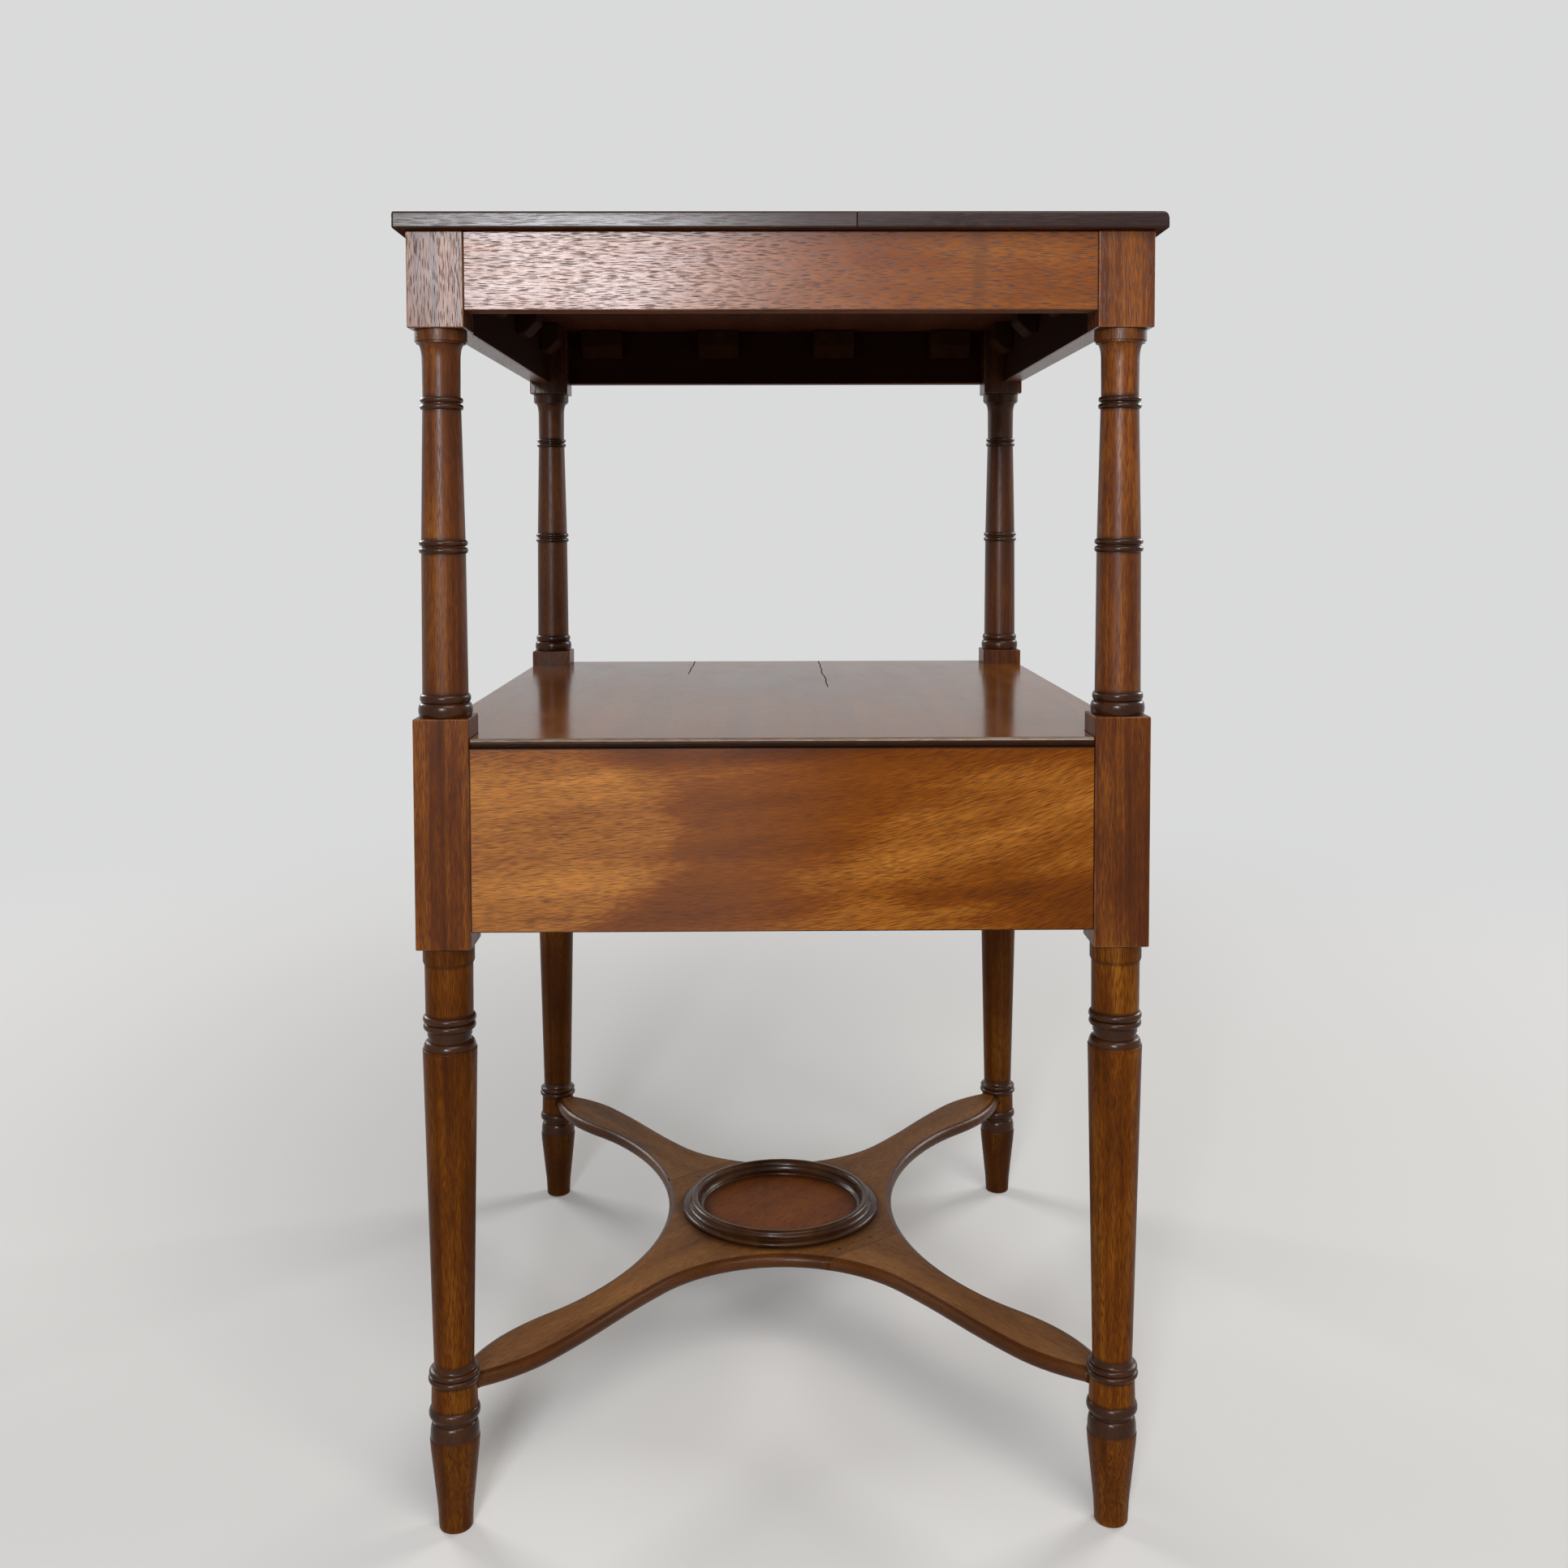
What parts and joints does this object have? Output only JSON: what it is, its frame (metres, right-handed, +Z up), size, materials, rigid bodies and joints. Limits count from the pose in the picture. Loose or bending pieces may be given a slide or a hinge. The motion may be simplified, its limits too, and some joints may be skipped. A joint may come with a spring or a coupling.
{
  "type": "washstand",
  "caption": "Two-tier mahogany washstand: solid top on turned posts, open tier over a shelf with a drawer case below, serpentine X stretcher with a turned dish ring for a jug.",
  "frame": {"origin": "on the floor, under the centre between the four posts, which is the centre of the top", "axes": "+Z up, the drawer opens towards -Y, the long side runs along X"},
  "size_m": [0.545, 0.4625, 0.8],
  "materials": {
    "mahogany_top": "waxed, worn grey-brown along the ends",
    "mahogany_post": "French polish, darker in the turned hollows",
    "mahogany_frieze": "French polish",
    "mahogany_shelf": "satin polish",
    "mahogany_panel": "satin polish over golden figure",
    "mahogany_drawer_front": "French polish",
    "mahogany_bead": "French polish",
    "mahogany_stretcher": "worn polish with a grey sheen",
    "pine_blocks": "bare, darkened with age",
    "oak_lining": "bare, dry",
    "iron_nail": "dark, rusted"
  },
  "bodies": {
    "stand": {"top_board_front": "mahogany_top", "top_board_back": "mahogany_top", "post_front_left": "mahogany_post", "post_front_right": "mahogany_post", "post_back_left": "mahogany_post", "post_back_right": "mahogany_post", "frieze_front": "mahogany_frieze", "frieze_back": "mahogany_frieze", "frieze_left": "mahogany_frieze", "frieze_right": "mahogany_frieze", "shelf_board": "mahogany_shelf", "case_panel_left": "mahogany_panel", "case_panel_right": "mahogany_panel", "case_panel_back": "mahogany_panel", "drawer_top_rail": "mahogany_panel", "drawer_bottom_rail": "mahogany_panel", "stretcher_upper_bar": "mahogany_stretcher", "stretcher_under_bar": "mahogany_stretcher", "dish_ring": "mahogany_stretcher", "top_glue_blocks": "pine_blocks", "shelf_glue_blocks": "pine_blocks", "drawer_stops": "pine_blocks", "drawer_runner_left": "pine_blocks", "drawer_runner_right": "pine_blocks", "drawer_kicker_left": "pine_blocks", "drawer_kicker_right": "pine_blocks", "drawer_guide_left": "pine_blocks", "drawer_guide_right": "pine_blocks", "stretcher_nails": "iron_nail"},
    "drawer": {"drawer_front": "mahogany_drawer_front", "drawer_back": "oak_lining", "drawer_bottom": "oak_lining", "drawer_side_left": "oak_lining", "drawer_side_right": "oak_lining", "drawer_knobs": "mahogany_drawer_front", "cock_bead_bottom": "mahogany_bead", "cock_bead_right": "mahogany_bead", "cock_bead_top": "mahogany_bead", "cock_bead_left": "mahogany_bead"}
  },
  "joints": [
    {"name": "drawer_slide", "type": "slide", "parent": "stand", "child": "drawer", "axis": [0, -1, 0], "range_m": [0, 0.3]}
  ]
}
